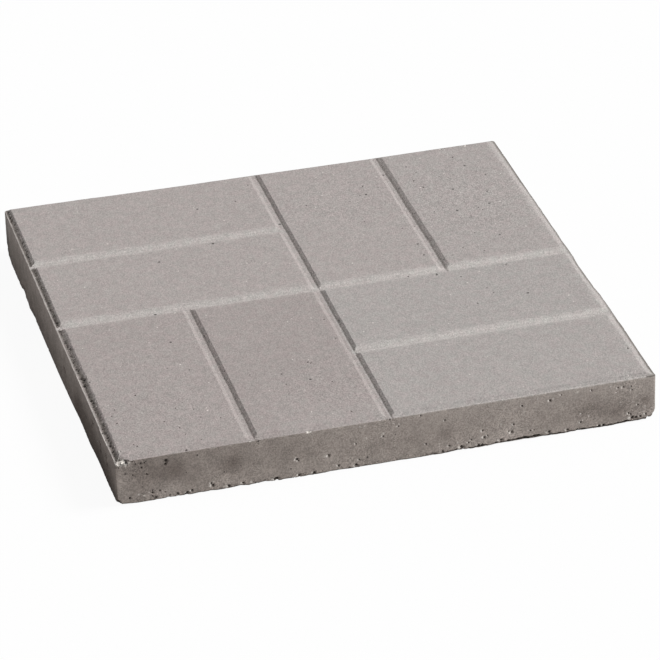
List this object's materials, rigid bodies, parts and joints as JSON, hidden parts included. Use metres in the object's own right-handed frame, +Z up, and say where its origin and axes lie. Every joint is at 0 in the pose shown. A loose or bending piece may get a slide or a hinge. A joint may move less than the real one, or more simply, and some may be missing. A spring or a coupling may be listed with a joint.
{
  "type": "paving slab",
  "caption": "Square cast concrete paving slab whose top is moulded as a basket weave of bricks, with sloped joints between them and a half joint round the edges.",
  "frame": {"origin": "middle of the underside, where the slab rests", "axes": "+Z up out of the brick faces; +X and +Y along the slab's sides"},
  "size_m": [0.4, 0.4, 0.038],
  "materials": {
    "concrete": "cast grey concrete with a fine sandy face, paler joints and browner sides"
  },
  "bodies": {
    "root": {"paving_slab": "concrete"}
  },
  "joints": []
}
